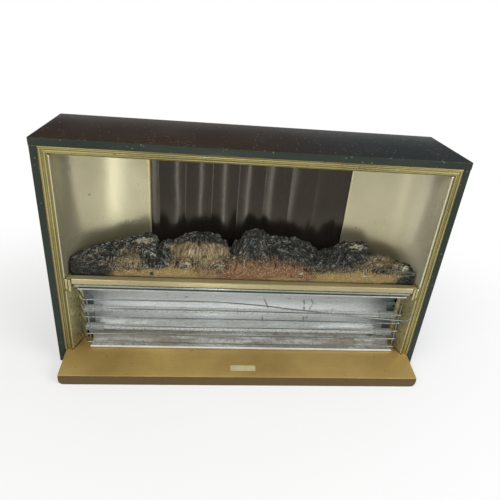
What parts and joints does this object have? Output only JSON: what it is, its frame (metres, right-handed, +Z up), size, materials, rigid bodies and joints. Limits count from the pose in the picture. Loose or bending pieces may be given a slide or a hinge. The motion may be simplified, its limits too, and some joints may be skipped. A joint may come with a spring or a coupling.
{
  "type": "electric bar heater",
  "caption": "Free-standing electric fire: wooden casing, brass-finished surround, glowing log bed over radiant bars behind a wire guard, and a hearth tray.",
  "frame": {"origin": "middle of the whole footprint, hearth tray included, on the floor", "axes": "+X along the width to the right as seen from the front, +Y from the front into the depth, +Z up"},
  "size_m": [0.7, 0.224, 0.4365],
  "materials": {
    "lacquered_board": "dark gloss lacquer, worn at the edges",
    "softwood": "bare",
    "brass_trim": "satin, lacquered",
    "champagne_aluminium": "brushed, tarnished",
    "gold_sheet": "satin gold lacquer",
    "bronze_screen": "gloss, fluted",
    "log_skin": "painted resin skin, rough",
    "polished_aluminium": "polished, hazy",
    "guard_chrome": "plated",
    "dark_steel": "heat darkened",
    "zinc_sheet": "zinc plated",
    "silica": "frosted",
    "resistance_coil": "oxidised",
    "ceramic": "unglazed",
    "bulb_glass": "red-orange lacquer",
    "bakelite": "moulded",
    "bare_aluminium": "bright",
    "steel_pin": "bright",
    "cream_plate": "satin, bare",
    "black_rubber": "matt",
    "black_plastic": "moulded",
    "red_plastic": "moulded"
  },
  "bodies": {
    "heater": {"casing_top_board": "lacquered_board", "casing_left_board": "lacquered_board", "casing_right_board": "lacquered_board", "back_batten_left": "softwood", "back_batten_right": "softwood", "back_panel": "zinc_sheet", "chassis_base": "zinc_sheet", "foot_front_left": "black_rubber", "foot_front_right": "black_rubber", "foot_back_left": "black_rubber", "foot_back_right": "black_rubber", "trim_top": "brass_trim", "trim_left": "brass_trim", "trim_right": "brass_trim", "hearth_tray": "gold_sheet", "tray_plate": "cream_plate", "cheek_left": "champagne_aluminium", "cheek_right": "champagne_aluminium", "flame_screen": "bronze_screen", "canopy_plate": "zinc_sheet", "fuel_bed_shelf": "gold_sheet", "shelf_bracket_left": "gold_sheet", "shelf_bracket_right": "gold_sheet", "hood_strip": "polished_aluminium", "lower_side_left": "gold_sheet", "lower_side_right": "gold_sheet", "reflector": "polished_aluminium", "end_plate_left": "dark_steel", "end_plate_right": "dark_steel", "element_tube_upper": "silica", "element_tube_lower": "silica", "element_coil_upper": "resistance_coil", "element_coil_lower": "resistance_coil", "end_cap_upper_left": "ceramic", "end_cap_upper_right": "ceramic", "end_cap_lower_left": "ceramic", "end_cap_lower_right": "ceramic", "guard": "guard_chrome", "guard_loose_wire": "guard_chrome", "lamp_holder_left": "bakelite", "lamp_holder_right": "bakelite", "lamp_cap_left": "bare_aluminium", "lamp_cap_right": "bare_aluminium", "lamp_bulb_left": "bulb_glass", "lamp_bulb_right": "bulb_glass", "pivot_bracket_left": "zinc_sheet", "pivot_bracket_right": "zinc_sheet", "pivot_needle_left": "steel_pin", "pivot_needle_right": "steel_pin", "terminal_block": "ceramic", "cable_bush": "black_rubber", "switch_housing": "black_plastic"},
    "log_bed": {"fuel_bed": "log_skin"},
    "left_spinner": {"spinner_left": "bare_aluminium"},
    "right_spinner": {"spinner_right": "bare_aluminium"},
    "upper_rocker": {"rocker_upper": "red_plastic"},
    "lower_rocker": {"rocker_lower": "red_plastic"}
  },
  "joints": [
    {"name": "log_bed_lift", "type": "slide", "parent": "heater", "child": "log_bed", "axis": [0, 0, 1], "range_m": [0, 0.06]},
    {"name": "left_spinner_turn", "type": "hinge", "parent": "heater", "child": "left_spinner", "pos_m": [-0.12, 0.064, 0.164], "axis": [0, 0, 1], "continuous": true},
    {"name": "right_spinner_turn", "type": "hinge", "parent": "heater", "child": "right_spinner", "pos_m": [0.12, 0.064, 0.164], "axis": [0, 0, 1], "continuous": true},
    {"name": "upper_rocker_tilt", "type": "hinge", "parent": "heater", "child": "upper_rocker", "pos_m": [0.3415, 0.06, 0.343], "axis": [0, 1, 0], "range_deg": [-16, 0]},
    {"name": "lower_rocker_tilt", "type": "hinge", "parent": "heater", "child": "lower_rocker", "pos_m": [0.3415, 0.06, 0.317], "axis": [0, 1, 0], "range_deg": [-16, 0]}
  ]
}
